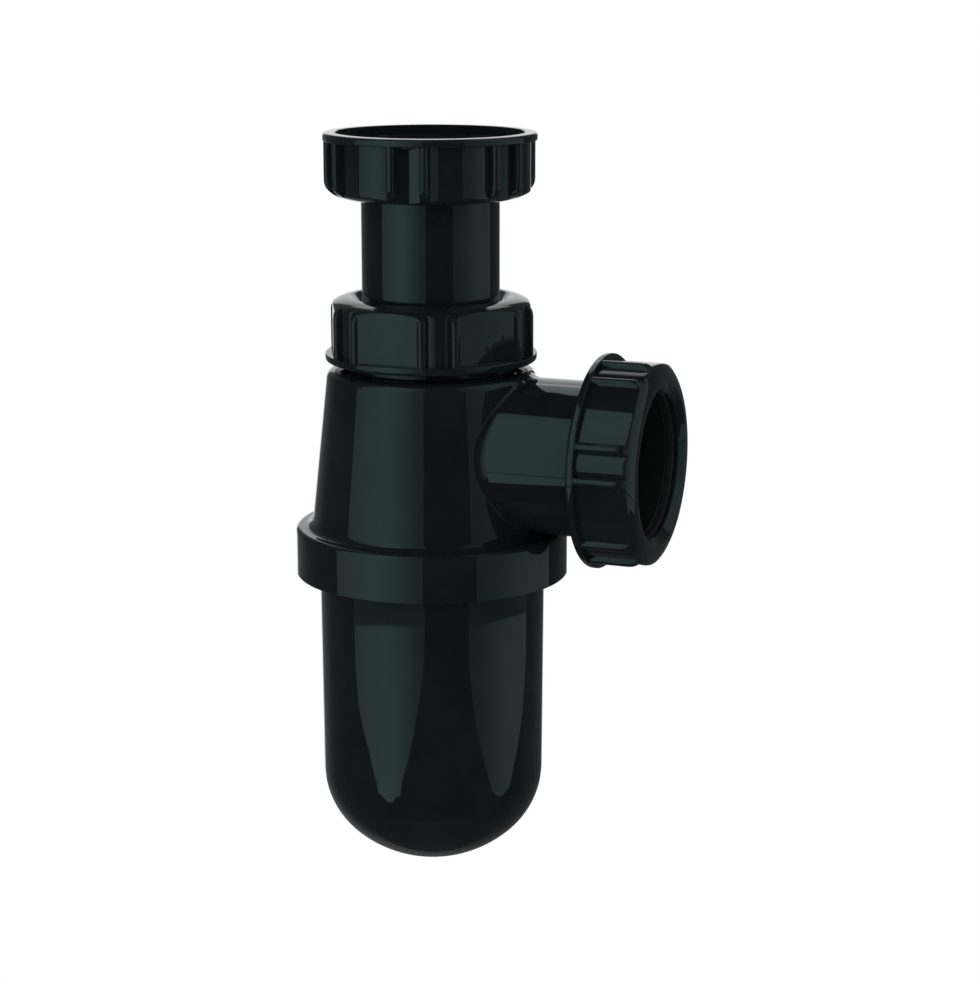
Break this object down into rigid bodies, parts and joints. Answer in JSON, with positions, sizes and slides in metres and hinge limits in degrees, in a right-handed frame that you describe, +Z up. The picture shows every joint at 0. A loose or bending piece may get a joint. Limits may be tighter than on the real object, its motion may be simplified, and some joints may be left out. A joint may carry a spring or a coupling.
{
  "type": "basin bottle trap",
  "caption": "Telescopic bottle trap for a washbasin: union nut and sliding inlet tube, cone body with side outlet, screw-on round cup.",
  "frame": {"origin": "centre of the inlet washer's top face, where the basin waste seats", "axes": "+Z up the inlet nut's bore, +X out along the outlet socket"},
  "size_m": [0.0886, 0.064, 0.1736],
  "materials": {
    "moulded_black": "glossy moulded polypropylene",
    "seal_rubber": "smooth matt rubber",
    "slip_plastic": "satin polyethylene"
  },
  "bodies": {
    "inlet_nut": {"inlet_nut": "moulded_black"},
    "inlet_tube": {"inlet_tube": "moulded_black", "inlet_washer": "seal_rubber"},
    "trap_body": {"trap_body": "moulded_black", "body_seal": "seal_rubber", "outlet_seal": "seal_rubber"},
    "body_slip_ring": {"body_slip_ring": "slip_plastic"},
    "body_nut": {"body_nut": "moulded_black"},
    "cup_gasket": {"cup_gasket": "seal_rubber"},
    "cup": {"cup": "moulded_black"},
    "outlet_slip_ring": {"outlet_slip_ring": "slip_plastic"},
    "outlet_nut": {"outlet_nut": "moulded_black"}
  },
  "joints": [
    {"name": "tube_swivel", "type": "hinge", "parent": "inlet_nut", "child": "inlet_tube", "pos_m": [0, 0, 0], "axis": [0, 0, 1], "continuous": true},
    {"name": "body_slide", "type": "slide", "parent": "inlet_tube", "child": "trap_body", "axis": [0, 0, 1], "range_m": [-0.025, 0.01]},
    {"name": "body_nut_travel", "type": "slide", "parent": "trap_body", "child": "body_slip_ring", "axis": [0, 0, 1], "range_m": [0, 0.00693]},
    {"name": "body_nut_turn", "type": "hinge", "parent": "body_slip_ring", "child": "body_nut", "pos_m": [0, 0, -0.045], "axis": [0, 0, 1], "range_deg": [0, 1081]},
    {"name": "cup_travel", "type": "slide", "parent": "trap_body", "child": "cup_gasket", "axis": [0, 0, -1], "range_m": [0, 0.0045]},
    {"name": "cup_turn", "type": "hinge", "parent": "cup_gasket", "child": "cup", "pos_m": [0, 0, -0.09553], "axis": [0, 0, -1], "range_deg": [0, 541]},
    {"name": "outlet_nut_travel", "type": "slide", "parent": "trap_body", "child": "outlet_slip_ring", "axis": [1, 0, 0], "range_m": [0, 0.00693]},
    {"name": "outlet_nut_turn", "type": "hinge", "parent": "outlet_slip_ring", "child": "outlet_nut", "pos_m": [0.0417, 0, -0.06593], "axis": [1, 0, 0], "range_deg": [0, 1081]}
  ],
  "couplings": [
    {"joint": "body_nut_turn", "follows": "body_nut_travel", "rad_per_m": 2721.2},
    {"joint": "cup_turn", "follows": "cup_travel", "rad_per_m": 2094.4},
    {"joint": "outlet_nut_turn", "follows": "outlet_nut_travel", "rad_per_m": 2721.2}
  ]
}
